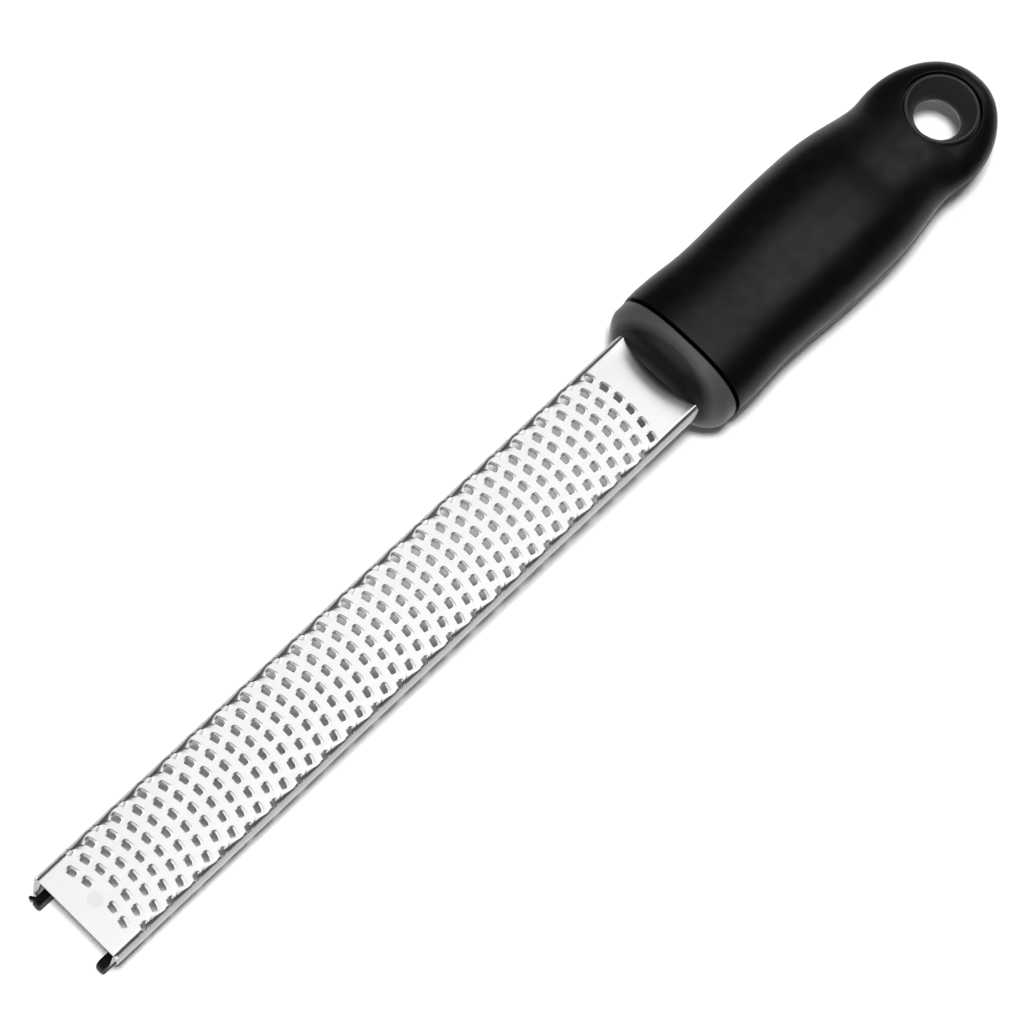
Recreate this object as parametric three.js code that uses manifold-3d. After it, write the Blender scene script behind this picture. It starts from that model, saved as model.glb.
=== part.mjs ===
// A rasp grater: a perforated steel channel blade held in a soft-grip handle, lying on a table.
// Millimetres, +Z up. The pieces are laid out in the blade's own frame, where X runs from the blade's
// tip towards the handle, Y goes across and Z = 0 is the top face of the blade. The finished tool is
// then tipped until its two feet and the belly of its grip stand on the table.

import * as THREE from 'three';
import { mergeGeometries, mergeVertices } from 'three/addons/utils/BufferGeometryUtils.js';
import Module from 'manifold-3d';

const wasm = await Module();
wasm.setup();

// Gap left all round between two pieces that fit together
const FIT_GAP = 0.3;

// Blade: a folded sheet with two flanges, and a narrow tang inside the handle
const SHEET = 0.5;
const BLADE_WIDTH = 28.4;
const BEND_WIDTH = 1.9;
const BEND_DROP = 3.2;
const FLANGE_HEIGHT = 4.5;
const BLADE_LENGTH = 209.2;
const TANG_WIDTH = 16;
const TANG_LENGTH = 49;

// Rasp holes: staggered rows that bow towards the handle
const PITCH = 4.3;
const FIRST_ROW = 12.4;
const PLAIN_END = 20.2;
const SIDE_MARGIN = 1.2;
const ROW_BOW_RADIUS = 35;
const HOLE_WIDTH = 2.3;
const HOLE_LENGTH = 1.5;
const HOLE_DEPTH = 2.2;

// Rubber feet, fixed beside two tabs that hang from the tip's corners, leaning out and narrowing downward
const TAB_REACH = 2.4;
const TAB_DROP = 8.2;
const TAB_LEAN = 1.6;
const TAB_TAPER = 1.3;
const FOOT_LENGTH = 10.2;
const FOOT_OVERHANG = 3.1;
const FOOT_WIDTH = 2.2;
const FOOT_HEIGHT = 5.9;
const FOOT_DROP = 12.4;
const FOOT_NOSE = 1.4;

// Handle axis: how far below the top of the blade it starts, how far it falls on the way to the eye,
// and the squareness of the oval sections round it
const HANDLE_DROP = 6.1;
const HANDLE_DIP = 2.2;
const SECTION_POWER = 2.5;

// Front collar: a bull nose, round as a quarter of an ellipse, and a narrow band beside the grip
const COLLAR_WIDTH = 39.9;
const COLLAR_HEIGHT = 25.9;
const BAND_LENGTH = 3.2;
const NOSE_LENGTH = 6.5;
const NOSE_TIP_WIDTH = 28.6;
const NOSE_TIP_HEIGHT = 7.2;
const NOSE_WIDTH_POWER = 1.6;
const COLLAR_GROOVE = 0.8;

// Grip sleeve: where its shoulder, hollow, belly, neck, head and eye lie behind its front edge, and how
// wide and high it is there. Behind its widest place the head is half an ellipse.
const LIP_WIDTH = 40;
const LIP_HEIGHT = 26.2;
const SHOULDER_AT = 4.6;
const SHOULDER_WIDTH = 40.4;
const SHOULDER_HEIGHT = 26.6;
const HOLLOW_AT = 20.5;
const HOLLOW_WIDTH = 38.6;
const HOLLOW_HEIGHT = 26.2;
const BELLY_AT = 48.5;
const BELLY_WIDTH = 40.4;
const BELLY_HEIGHT = 29;
const NECK_AT = 83.5;
const NECK_WIDTH = 34.4;
const NECK_HEIGHT = 17.4;
const NECK_EASE = 1.8;
const HEAD_AT = 92;
const HEAD_WIDTH = 35.7;
const HEAD_HEIGHT = 14;
const HEAD_RUN = 23.2;
const HEAD_EDGE_POWER = 6;
const EYE_AT = 98.9;
const SLEEVE_WALL = 3.6;

// Rigid core inside the sleeve, and the two pins that lock the tang in it
const CORE_TAIL = 23;
const PIN_DIAMETER = 4;
const PIN_LENGTH = 12;
const FRONT_PIN_AT = 14;
const REAR_PIN_MARGIN = 13;

// Hanging eyelet: a funnel set a little below the surface of the sleeve's round end
const EYELET_DIAMETER = 20.1;
const EYELET_MOUTH = 18.3;
const EYELET_LIP = 1.8;
const EYELET_BODY = 17.2;
const EYELET_FUNNEL = 5.6;
const EYELET_THROAT = 13;
const EYELET_OUTLET = 11.7;
const EYELET_INSET = 0.8;

// Facets
const RING_POINTS = 36;
const CORE_POINTS = 24;
const ROUND_SIDES = 32;
const BEND_STEPS = 2;
const GRIP_RINGS = 15;
const HEAD_RINGS = 7;
const NOSE_RINGS = 5;

// Places that follow from the sizes above
const collarBack = BLADE_LENGTH + FIT_GAP + SHEET;
const gripFront = collarBack + COLLAR_GROOVE;
const bandFront = collarBack - BAND_LENGTH;
const eyeX = gripFront + EYE_AT;
const coreLength = TANG_LENGTH + CORE_TAIL;
const pinPlaces = [FRONT_PIN_AT, TANG_LENGTH - REAR_PIN_MARGIN];

// Height of the handle's axis at a place along the tool
function axisAt(x) {
  return -HANDLE_DROP - (HANDLE_DIP * Math.max(0, x - gripFront)) / EYE_AT;
}

// Solids: closed meshes that can be joined and cut

function solid(geometry) {
  const bare = geometry.clone();
  bare.deleteAttribute('normal');
  bare.deleteAttribute('uv');
  const merged = mergeVertices(bare, 1e-4);
  return new wasm.Manifold(
    new wasm.Mesh({
      numProp: 3,
      vertProperties: new Float32Array(merged.attributes.position.array),
      triVerts: new Uint32Array(merged.index.array),
    }),
  );
}

function surface(manifold) {
  const cut = manifold.getMesh();
  const geometry = new THREE.BufferGeometry();
  geometry.setAttribute('position', new THREE.BufferAttribute(cut.vertProperties, 3));
  geometry.setIndex(new THREE.BufferAttribute(cut.triVerts, 1));
  geometry.computeVertexNormals();
  return geometry;
}

function box(x0, x1, y0, y1, z0, z1) {
  const geometry = new THREE.BoxGeometry(x1 - x0, y1 - y0, z1 - z0);
  return geometry.translate((x0 + x1) / 2, (y0 + y1) / 2, (z0 + z1) / 2);
}

function upright(radius, x, z0, z1) {
  const geometry = new THREE.CylinderGeometry(radius, radius, z1 - z0, ROUND_SIDES);
  return geometry.rotateX(Math.PI / 2).translate(x, 0, (z0 + z1) / 2);
}

// Extrudes a shape drawn in Y and Z along X
function alongX(shape, x0, x1) {
  const geometry = new THREE.ExtrudeGeometry(shape, {
    depth: x1 - x0,
    bevelEnabled: false,
    curveSegments: BEND_STEPS,
  });
  const turn = new THREE.Matrix4().makeBasis(
    new THREE.Vector3(0, 1, 0),
    new THREE.Vector3(0, 0, 1),
    new THREE.Vector3(1, 0, 0),
  );
  return geometry.applyMatrix4(turn).translate(x0, 0, 0);
}

// One oval section across the handle's axis
function ovalRing(x, halfWidth, halfHeight, count) {
  const ring = [];
  for (let i = 0; i < count; i += 1) {
    const angle = (2 * Math.PI * i) / count;
    const across = Math.cos(angle);
    const up = Math.sin(angle);
    const y = halfWidth * Math.sign(across) * Math.abs(across) ** (2 / SECTION_POWER);
    const z = halfHeight * Math.sign(up) * Math.abs(up) ** (2 / SECTION_POWER);
    ring.push(new THREE.Vector3(x, y, axisAt(x) + z));
  }
  return ring;
}

// Skins a row of rings, closed at both ends
function loft(rings) {
  const count = rings[0].length;
  const points = rings.flat();
  const last = rings.length - 1;
  const middle = (ring) =>
    ring.reduce((sum, p) => sum.add(p), new THREE.Vector3()).divideScalar(count);
  points.push(middle(rings[0]), middle(rings[last]));
  const frontCentre = points.length - 2;
  const rearCentre = points.length - 1;
  const faces = [];
  for (let i = 0; i < count; i += 1) {
    const next = (i + 1) % count;
    faces.push(frontCentre, next, i);
    faces.push(rearCentre, last * count + i, last * count + next);
    for (let r = 0; r < last; r += 1) {
      const a = r * count + i;
      const b = r * count + next;
      faces.push(a, b, b + count, a, b + count, a + count);
    }
  }
  const geometry = new THREE.BufferGeometry().setFromPoints(points);
  geometry.setIndex(faces);
  return geometry;
}

// Grip profile: half sizes at a distance behind the front edge, smooth between the named stations

function ease(t) {
  return t * t * (3 - 2 * t);
}

function blendAt(stations, distance) {
  for (let i = 1; i < stations.length; i += 1) {
    const [start, from] = stations[i - 1];
    const [end, to, bias = 1] = stations[i];
    if (distance <= end) {
      return from + (to - from) * ease(((distance - start) / (end - start)) ** bias);
    }
  }
  return stations[stations.length - 1][1];
}

// The front edge rounds over to the shoulder like a quarter of an ellipse
function roundLip(lip, shoulder, distance) {
  const rest = 1 - distance / SHOULDER_AT;
  return lip + (shoulder - lip) * Math.sqrt(Math.max(0, 1 - rest * rest));
}

function gripHalfWidth(distance) {
  if (distance < SHOULDER_AT) return roundLip(LIP_WIDTH, SHOULDER_WIDTH, distance) / 2;
  if (distance > HEAD_AT) {
    const out = (distance - HEAD_AT) / HEAD_RUN;
    return (HEAD_WIDTH / 2) * Math.sqrt(1 - out ** 2);
  }
  const stations = [
    [SHOULDER_AT, SHOULDER_WIDTH],
    [HOLLOW_AT, HOLLOW_WIDTH],
    [BELLY_AT, BELLY_WIDTH],
    [NECK_AT, NECK_WIDTH, NECK_EASE],
    [HEAD_AT, HEAD_WIDTH],
  ];
  return blendAt(stations, distance) / 2;
}

function gripHalfHeight(distance) {
  if (distance < SHOULDER_AT) return roundLip(LIP_HEIGHT, SHOULDER_HEIGHT, distance) / 2;
  if (distance > HEAD_AT) {
    const out = (distance - HEAD_AT) / HEAD_RUN;
    return (HEAD_HEIGHT / 2) * Math.sqrt(1 - out ** HEAD_EDGE_POWER);
  }
  const stations = [
    [SHOULDER_AT, SHOULDER_HEIGHT],
    [HOLLOW_AT, HOLLOW_HEIGHT],
    [BELLY_AT, BELLY_HEIGHT],
    [NECK_AT, NECK_HEIGHT, NECK_EASE],
    [HEAD_AT, HEAD_HEIGHT],
  ];
  return blendAt(stations, distance) / 2;
}

// Distances behind the front edge at which the grip is sectioned
function gripDistances() {
  const distances = [0, SHOULDER_AT / 8, SHOULDER_AT / 3];
  for (let i = 0; i <= GRIP_RINGS; i += 1) {
    distances.push(SHOULDER_AT + ((HEAD_AT - SHOULDER_AT) * i) / GRIP_RINGS);
  }
  for (let i = 1; i <= HEAD_RINGS; i += 1) {
    const angle = (Math.PI / 2) * (i / (HEAD_RINGS + 0.5));
    distances.push(HEAD_AT + HEAD_RUN * Math.sin(angle));
  }
  return distances;
}

function gripRing(distance, inset, count) {
  const halfWidth = gripHalfWidth(distance) - inset;
  const halfHeight = gripHalfHeight(distance) - inset;
  return ovalRing(gripFront + distance, halfWidth, halfHeight, count);
}

// The table: a line under the feet that just touches the belly of the grip
const footMiddle = FOOT_LENGTH / 2 - FOOT_OVERHANG;
const tableSlope = Math.min(
  ...gripDistances().map((distance) => {
    const x = gripFront + distance;
    return (axisAt(x) - gripHalfHeight(distance) + FOOT_DROP) / (x - footMiddle);
  }),
);

function tableAt(x) {
  return -FOOT_DROP + tableSlope * (x - footMiddle);
}

// Blade

// The bends are quarters of an ellipse, tighter beside the top face than beside the flanges
function channelShape(gap) {
  const half = BLADE_WIDTH / 2 + gap;
  const wide = BEND_WIDTH + gap;
  const deep = BEND_DROP + gap;
  const under = -SHEET - gap;
  const wall = BLADE_WIDTH / 2 - SHEET - gap;
  const innerWide = Math.max(BEND_WIDTH - SHEET - gap, 0.1);
  const innerDeep = Math.max(BEND_DROP - SHEET - gap, 0.1);
  const hem = -FLANGE_HEIGHT - gap;
  const right = Math.PI / 2;
  const shape = new THREE.Shape();
  shape.moveTo(half, hem);
  shape.lineTo(half, gap - deep);
  shape.absellipse(half - wide, gap - deep, wide, deep, 0, right, false);
  shape.absellipse(wide - half, gap - deep, wide, deep, right, Math.PI, false);
  shape.lineTo(-half, hem);
  shape.lineTo(-wall, hem);
  shape.absellipse(innerWide - wall, under - innerDeep, innerWide, innerDeep, Math.PI, right, true);
  shape.absellipse(wall - innerWide, under - innerDeep, innerWide, innerDeep, right, 0, true);
  shape.lineTo(wall, hem);
  shape.closePath();
  return shape;
}

// Centres and turns of the rasp holes. A short lead row at the tip leaves out its middle and its ends.
function holePlaces() {
  const places = [];
  const sideColumns = Math.floor((BLADE_WIDTH / 2 - SIDE_MARGIN) / PITCH);
  const lastRow = Math.floor((BLADE_LENGTH - PLAIN_END - FIRST_ROW) / PITCH);
  for (let row = -1; row <= lastRow; row += 1) {
    const shifted = row > 0 && row % 2 === 1;
    const reach = shifted ? sideColumns - 0.5 : sideColumns;
    for (let column = -reach; column <= reach; column += 1) {
      const leadGap = row === -1 && (column === 0 || Math.abs(column) === sideColumns);
      if (!leadGap) {
        const across = column * PITCH;
        const turn = Math.asin(across / ROW_BOW_RADIUS);
        const bow = ROW_BOW_RADIUS * (1 - Math.cos(turn));
        places.push({ x: FIRST_ROW + row * PITCH - bow, y: across, turn });
      }
    }
  }
  return places;
}

function holePrisms() {
  const prisms = holePlaces().map(({ x, y, turn }) => {
    const prism = new THREE.BoxGeometry(HOLE_LENGTH, HOLE_WIDTH, 2 * HOLE_DEPTH);
    return prism.rotateZ(turn).translate(x, y, 0);
  });
  return mergeGeometries(prisms);
}

// A tab at one side of the tip, from inside the sheet down to the foot
function tabSolid(side) {
  const inner = BLADE_WIDTH / 2 - TAB_REACH;
  const ring = (front, outer, z) => {
    const corners = [
      [front, inner],
      [front + SHEET, inner],
      [front + SHEET, outer],
      [front, outer],
    ];
    const places = corners.map(([x, y]) => new THREE.Vector3(x, side * y, z));
    return side > 0 ? places.reverse() : places;
  };
  const outer = BLADE_WIDTH / 2 - SHEET / 2;
  const top = ring(0, outer, -SHEET / 2);
  const bottom = ring(-TAB_LEAN, outer - TAB_TAPER, -TAB_DROP);
  return solid(loft([top, bottom]));
}

function bladeGeometry() {
  const tangEnd = gripFront + TANG_LENGTH;
  const tang = box(BLADE_LENGTH - 2, tangEnd, -TANG_WIDTH / 2, TANG_WIDTH / 2, -SHEET, 0);
  let blade = solid(alongX(channelShape(0), 0, BLADE_LENGTH)).add(solid(tang));
  for (const side of [-1, 1]) {
    blade = blade.add(tabSolid(side));
  }
  blade = blade.subtract(solid(holePrisms()));
  for (const at of pinPlaces) {
    const bore = upright(PIN_DIAMETER / 2 + FIT_GAP, gripFront + at, -2 * SHEET, SHEET);
    blade = blade.subtract(solid(bore));
  }
  return surface(blade);
}

// Feet

function footGeometry(side) {
  const front = -FOOT_OVERHANG;
  const rear = front + FOOT_LENGTH;
  const top = FOOT_HEIGHT - FOOT_DROP;
  const middle = top - FOOT_HEIGHT / 2;
  const profile = new THREE.Shape();
  profile.moveTo(rear, tableAt(rear));
  profile.lineTo(rear, top);
  profile.lineTo(front + FOOT_NOSE, top);
  profile.quadraticCurveTo(front, top, front, middle);
  profile.quadraticCurveTo(front, tableAt(front), front + FOOT_NOSE, tableAt(front + FOOT_NOSE));
  profile.closePath();
  const foot = new THREE.ExtrudeGeometry(profile, {
    depth: FOOT_WIDTH,
    bevelEnabled: false,
    curveSegments: BEND_STEPS,
  });
  const outer = BLADE_WIDTH / 2 - TAB_REACH - FIT_GAP;
  foot.rotateX(Math.PI / 2);
  foot.translate(0, side > 0 ? outer : FOOT_WIDTH - outer, 0);
  return foot;
}

// Collar, core, sleeve, pins and eyelet

function collarGeometry() {
  const rings = [];
  for (let i = 0; i <= NOSE_RINGS; i += 1) {
    const angle = ((Math.PI / 2) * i) / NOSE_RINGS;
    const out = Math.cos(angle);
    const width = COLLAR_WIDTH - (COLLAR_WIDTH - NOSE_TIP_WIDTH) * out ** NOSE_WIDTH_POWER;
    const height = NOSE_TIP_HEIGHT + (COLLAR_HEIGHT - NOSE_TIP_HEIGHT) * Math.sin(angle);
    rings.push(ovalRing(bandFront - NOSE_LENGTH * out, width / 2, height / 2, RING_POINTS));
  }
  rings.push(ovalRing(collarBack, COLLAR_WIDTH / 2, COLLAR_HEIGHT / 2, RING_POINTS));
  const slot = alongX(channelShape(FIT_GAP), bandFront - NOSE_LENGTH - 1, collarBack + 1);
  return surface(solid(loft(rings)).subtract(solid(slot)));
}

function coreSolid(gap, frontX) {
  const inset = SLEEVE_WALL - gap;
  const distances = gripDistances().filter((d) => d >= SHOULDER_AT && d < coreLength);
  const front = ovalRing(
    frontX,
    gripHalfWidth(0) - inset,
    gripHalfHeight(0) - inset,
    CORE_POINTS,
  );
  const rings = [front, ...distances.map((d) => gripRing(d, inset, CORE_POINTS))];
  const end = gripRing(coreLength, inset, CORE_POINTS);
  end.forEach((p) => {
    p.x += gap;
  });
  rings.push(end);
  return solid(loft(rings));
}

function coreGeometry() {
  const front = collarBack + FIT_GAP;
  const halfSlot = TANG_WIDTH / 2 + FIT_GAP;
  const slotEnd = gripFront + TANG_LENGTH + FIT_GAP;
  const slot = box(front - 1, slotEnd, -halfSlot, halfSlot, -SHEET - FIT_GAP, FIT_GAP);
  let core = coreSolid(0, front).subtract(solid(slot));
  for (const at of pinPlaces) {
    const floor = pinTop(at) - PIN_LENGTH - FIT_GAP;
    const bore = upright(PIN_DIAMETER / 2 + FIT_GAP, gripFront + at, floor, SHOULDER_HEIGHT);
    core = core.subtract(solid(bore));
  }
  return surface(core);
}

// Upper end of a pin, just under the top of the core
function pinTop(at) {
  return axisAt(gripFront + at) + gripHalfHeight(at) - SLEEVE_WALL - FIT_GAP;
}

function pinGeometry(at) {
  return upright(PIN_DIAMETER / 2, gripFront + at, pinTop(at) - PIN_LENGTH, pinTop(at));
}

const eyeZ = axisAt(eyeX);
const eyeletTop = eyeZ + HEAD_HEIGHT / 2 - EYELET_INSET;
const eyeletBottom = eyeZ - HEAD_HEIGHT / 2 + EYELET_INSET;

function sleeveGeometry() {
  const rings = gripDistances().map((d) => gripRing(d, 0, RING_POINTS));
  const seatFloor = eyeletTop - EYELET_LIP - FIT_GAP;
  const seat = upright(EYELET_DIAMETER / 2 + FIT_GAP, eyeX, seatFloor, HEAD_HEIGHT);
  const bore = upright(EYELET_BODY / 2 + FIT_GAP, eyeX, eyeZ - HEAD_HEIGHT, HEAD_HEIGHT);
  const sleeve = solid(loft(rings))
    .subtract(coreSolid(FIT_GAP, gripFront - 1))
    .subtract(solid(seat))
    .subtract(solid(bore));
  return surface(sleeve);
}

function eyeletGeometry() {
  const outline = [
    [EYELET_OUTLET / 2, eyeletBottom],
    [EYELET_BODY / 2, eyeletBottom],
    [EYELET_BODY / 2, eyeletTop - EYELET_LIP],
    [EYELET_DIAMETER / 2, eyeletTop - EYELET_LIP],
    [EYELET_DIAMETER / 2, eyeletTop],
    [EYELET_MOUTH / 2, eyeletTop],
    [EYELET_THROAT / 2, eyeletTop - EYELET_FUNNEL],
    [EYELET_OUTLET / 2, eyeletBottom],
  ];
  const profile = outline.map(([r, z]) => new THREE.Vector2(r, z));
  const ring = new THREE.LatheGeometry(profile, ROUND_SIDES);
  return ring.rotateX(Math.PI / 2).translate(eyeX, 0, 0);
}

// Finishes
const steel = { color: 0xd9dbdc, roughness: 0.22, metalness: 1 };
const greyPlastic = { color: 0x3a3b3b, roughness: 0.45, metalness: 0 };
const softBlack = { color: 0x141414, roughness: 0.7, metalness: 0 };
const footRubber = { color: 0x0d0d0d, roughness: 0.6, metalness: 0 };
const corePlastic = { color: 0x2b2b2b, roughness: 0.55, metalness: 0 };
const pinSteel = { color: 0xb8babb, roughness: 0.35, metalness: 1 };

const tool = new THREE.Group();

function addPiece(name, geometry, finish) {
  const piece = new THREE.Mesh(geometry, new THREE.MeshStandardMaterial(finish));
  piece.name = name;
  tool.add(piece);
}

addPiece('blade', bladeGeometry(), steel);
addPiece('front_collar', collarGeometry(), greyPlastic);
addPiece('handle_core', coreGeometry(), corePlastic);
addPiece('grip_sleeve', sleeveGeometry(), softBlack);
addPiece('hanging_eyelet', eyeletGeometry(), greyPlastic);
addPiece('foot_left', footGeometry(1), footRubber);
addPiece('foot_right', footGeometry(-1), footRubber);
addPiece('tang_pin_front', pinGeometry(pinPlaces[0]), pinSteel);
addPiece('tang_pin_rear', pinGeometry(pinPlaces[1]), pinSteel);

// Tips the tool onto the table, then puts the origin under the middle of its box
tool.rotation.y = Math.atan(tableSlope);
tool.updateMatrixWorld(true);
const extent = new THREE.Box3().setFromObject(tool, true);
tool.position.set(
  -(extent.min.x + extent.max.x) / 2,
  -(extent.min.y + extent.max.y) / 2,
  -extent.min.z,
);

const grater = new THREE.Group();
grater.add(tool);

export default grater;
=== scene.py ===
"""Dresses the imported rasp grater: a bright steel blade with raised rasp teeth, a grey collar and eyelet,
a soft black grip and two rubber feet, on a white studio floor.

Sizes are in millimetres in the blade's own frame: X runs from the blade's tip towards the handle, Y goes
to the left and Z = 0 is the top face of the blade. TO_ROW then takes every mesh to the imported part's frame.
The floor, the lights and the camera are placed in that frame, in metres.
"""

import math
from functools import partial

import bmesh
import bpy
from mathutils import Euler, Matrix, Vector


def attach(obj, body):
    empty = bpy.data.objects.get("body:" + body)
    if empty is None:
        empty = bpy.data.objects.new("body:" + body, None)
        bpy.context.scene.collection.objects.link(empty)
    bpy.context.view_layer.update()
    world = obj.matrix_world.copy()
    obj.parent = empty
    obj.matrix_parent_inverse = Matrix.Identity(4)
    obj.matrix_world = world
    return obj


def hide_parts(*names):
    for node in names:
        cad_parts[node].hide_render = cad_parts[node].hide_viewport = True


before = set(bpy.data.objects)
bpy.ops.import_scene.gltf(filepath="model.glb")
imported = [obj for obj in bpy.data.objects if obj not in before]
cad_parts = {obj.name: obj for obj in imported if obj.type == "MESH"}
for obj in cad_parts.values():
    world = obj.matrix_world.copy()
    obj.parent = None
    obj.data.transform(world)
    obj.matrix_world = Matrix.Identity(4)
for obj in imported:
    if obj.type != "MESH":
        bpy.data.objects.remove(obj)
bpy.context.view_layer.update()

# Blade
SHEET = 0.5
BLADE_WIDTH = 28.4
BEND_WIDTH = 1.7
BEND_DROP = 3.2
FLANGE_HEIGHT = 4.5
BLADE_LENGTH = 209.2
RIM_ROUND = 0.12
RIM_BULGE = 0.07
TANG_WIDTH = 16
TANG_START = 205
TANG_END = 259.8
TANG_SINK = 0.02
LEFT_TAB_REACH = 2.4
RIGHT_TAB_REACH = 1.5
TAB_DROP = 8.2
TAB_LEAN = 1.6
TAB_TAPER = 1.3

# The blade dips a little where it goes into the nose, most in its middle
DISH_FRONT = 191.5
DISH_LENGTH = 12
DISH_DEPTH = 3.4
DISH_POWER = 3

# A round dull spot on the plate near its tip
SPOT_AT = 6.4
SPOT_RADIUS = 2.1
SPOT_FADE = 0.21

# Rasp holes: staggered rows that bow towards the handle
PITCH = 4.3
FIRST_ROW = 12.4
LAST_ROW = 41
SIDE_COLUMNS = 3
ROW_BOW_RADIUS = 35

# One rasp tooth: the opening, and the raised pad that wraps its handle side
OPENING_TIPWARD = 0.78
OPENING_HANDLEWARD = 0.64
OPENING_HALF = 1.12
OPENING_TIP_POWER = 7
OPENING_HANDLE_POWER = 4
PAD_TIPWARD = 0.95
PAD_HANDLEWARD = 1.42
PAD_HALF = 1.62
PAD_SLOPE = 0.17
PAD_STEP = 0.095
PAD_CREST = 0.2
PAD_HOLD = 0.06
PAD_WRAP = 0.3
PAD_WRAP_RUN = 1.1
EDGE_ROUND = 0.07
UNDERCUT = 0.14

# The punching leaves the bends wavy: drawn in behind each outermost tooth and full before it
SCALLOP = 0.5
SCALLOP_LAG = 2.0

# Feet
FOOT_LENGTH = 10.2
FOOT_OVERHANG = 3.1
FOOT_HEIGHT = 5.9
FOOT_DROP = 12.4
LEFT_FOOT_INNER = 9.3
LEFT_FOOT_OUTER = 11.5
RIGHT_FOOT_INNER = 10.0
RIGHT_FOOT_OUTER = 12.4
FOOT_NOSE = 1.4
FOOT_ROUND = 0.3
FOOT_ROUND_POWER = 4

# A short round peg on the left foot. Its profile gives shares of its length and of its radius
NIB_ROOT = (-2.0, 11.2, -7.6)
NIB_END = (-2.8, 12.9, -8.3)
NIB_RADIUS = 0.5
NIB_PROFILE = ((0, 1), (0.75, 1), (0.9, 0.8), (0.97, 0.5), (1, 0.1))

# Handle. From SHOULDER_AT to HEAD_AT, places are distances behind GRIP_FRONT
HANDLE_DROP = 6.1
HANDLE_DIP = 2.2
SECTION_POWER = 2.5
COLLAR_WIDTH = 39.4
COLLAR_HEIGHT = 25.4
COLLAR_BACK = 210.0
COLLAR_BEVEL = 0.3
BAND_FRONT = 206.8
BAND_EASE = 0.15
NOSE_LENGTH = 6.5
NOSE_TIP_WIDTH = 28.6
NOSE_TIP_HEIGHT = 7.2
NOSE_WIDTH_POWER = 1.6
CREASE_AT = 206.3
CREASE_BOW = 3.3
CREASE_DEPTH = 0.16
CREASE_RUN = 0.3
# Painted shade on the nose: full in front of the first of these places, faded out behind the second
MOUTH_SHADE_FRONT = 205.4
MOUTH_SHADE_BACK = 208.4
GRIP_FRONT = 210.8
GRIP_FACE_INSET = 3
GRIP_FACE_SINK = 0.02
LIP_WIDTH = 40
LIP_HEIGHT = 26.2
SHOULDER_AT = 4.6
SHOULDER_WIDTH = 40.4
SHOULDER_HEIGHT = 26.6
HOLLOW_AT = 20.5
HOLLOW_WIDTH = 38.6
HOLLOW_HEIGHT = 26.2
BELLY_AT = 48.5
BELLY_WIDTH = 40.4
BELLY_HEIGHT = 29
BELLY_TOP_AT = 53
NECK_AT = 83.5
NECK_WIDTH = 34.4
NECK_EASE = 1.8
HEAD_AT = 92
HEAD_WIDTH = 35.7
HEAD_HEIGHT = 14
HEAD_EASE = 1.5
HEAD_RUN = 23.2
HEAD_PLAN_POWER = 2
HEAD_EDGE_POWER = 6
SEAM_HEIGHT = 0.16
SEAM_HALF = 0.3

# Eyelet, and the hole in the grip that holds it. EYE_AT is a distance behind GRIP_FRONT too
EYE_AT = 98.9
EYE_HOLE = 21.2
EYE_ROUND = 0.45
EYE_PATCH = 12.6
EYELET_DIAMETER = 20.1
EYELET_MOUTH = 18.3
EYELET_LIP = 1.8
EYELET_BODY = 17.2
EYELET_SEAT = 0.1
EYELET_FUNNEL = 5.0
EYELET_THROAT = 13.2
EYELET_WAIST = 12.5
EYELET_WAIST_DROP = 7.6
EYELET_OUTLET = 15.2
EYELET_INSET = 0.8
EYELET_SOFT = 0.2

# Fineness of the meshes
SAME_PLACE_DIGITS = 4
CELL_STEPS = 12
FLANGE_STEPS = 8
TIP_STEPS = 6
REAR_STEPS = 48
COLLAR_SIDES = 160
NOSE_RINGS = 60
SECTION_QUARTER = 36
LIP_RINGS = 10
GRIP_RINGS = 90
HEAD_RINGS = 40
EYE_RINGS = 8
EYE_ROUND_STEPS = 5
EYELET_SIDES = 128
FOOT_RINGS = 10
FOOT_CURVE_STEPS = 6
NIB_SIDES = 20

# Finishes. Noise scales are per metre, and depths in millimetres
NOISE_LOW = 0.3
NOISE_HIGH = 0.7
STEEL_CLOUDS = 45
STEEL_GRAIN = 900
STEEL_GRAIN_STRETCH = (0.05, 1, 1)
STEEL_GRAIN_BUMP = 0.015
STEEL_GRAIN_DEPTH = 0.01
MOULDED_CLOUDS = 120
MOULDED_SHEEN = 260
MOULDED_GRAIN_DEPTH = 0.03
PLASTIC_FADE = 1

# Studio
FLOOR_HALF = 4.0
FLOOR_GAP = 0.0001
FLOOR_CLOUDS = 3
FLOOR_GREYS = (0.88, 0.9)
FLOOR_ROUGHNESS = 0.9
FLOOR_SPECULAR = 0.1
DOME_HEIGHTS = (0.1, 0.9)
DOME_GREYS = (0.13, 0.1)
CAMERA_PLACE = (-0.37080, -0.17482, 0.95205)
CAMERA_TURN_DEGREES = (21.853, -7.426, -46.093)
CAMERA_LENS = 144.96
CAMERA_SENSOR = 36
CAMERA_NEAR = 0.05
CAMERA_FAR = 20

# The tool lies tipped on its feet and the belly of its grip
TILT = math.radians(-2.0642)
TIP_HEIGHT = 12.32
TIP_AT = -161.642
MM = 0.001
TIP_PLACE = Vector((TIP_AT * MM, 0, TIP_HEIGHT * MM))
TO_ROW = Matrix.Translation(TIP_PLACE) @ Matrix.Rotation(TILT, 4, "Y") @ Matrix.Scale(MM, 4)

flat_half = BLADE_WIDTH / 2 - BEND_WIDTH
bend_arc = math.pi / 2 * math.sqrt((BEND_WIDTH**2 + BEND_DROP**2) / 2)
cells_half = (SIDE_COLUMNS + 0.5) * PITCH
sheet_half = flat_half + bend_arc + FLANGE_HEIGHT - BEND_DROP
eye_x = GRIP_FRONT + EYE_AT
eye_z = -HANDLE_DROP - HANDLE_DIP
eyelet_top = eye_z + HEAD_HEIGHT / 2 - EYELET_INSET
eyelet_bottom = eye_z - HEAD_HEIGHT / 2 + EYELET_INSET


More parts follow.
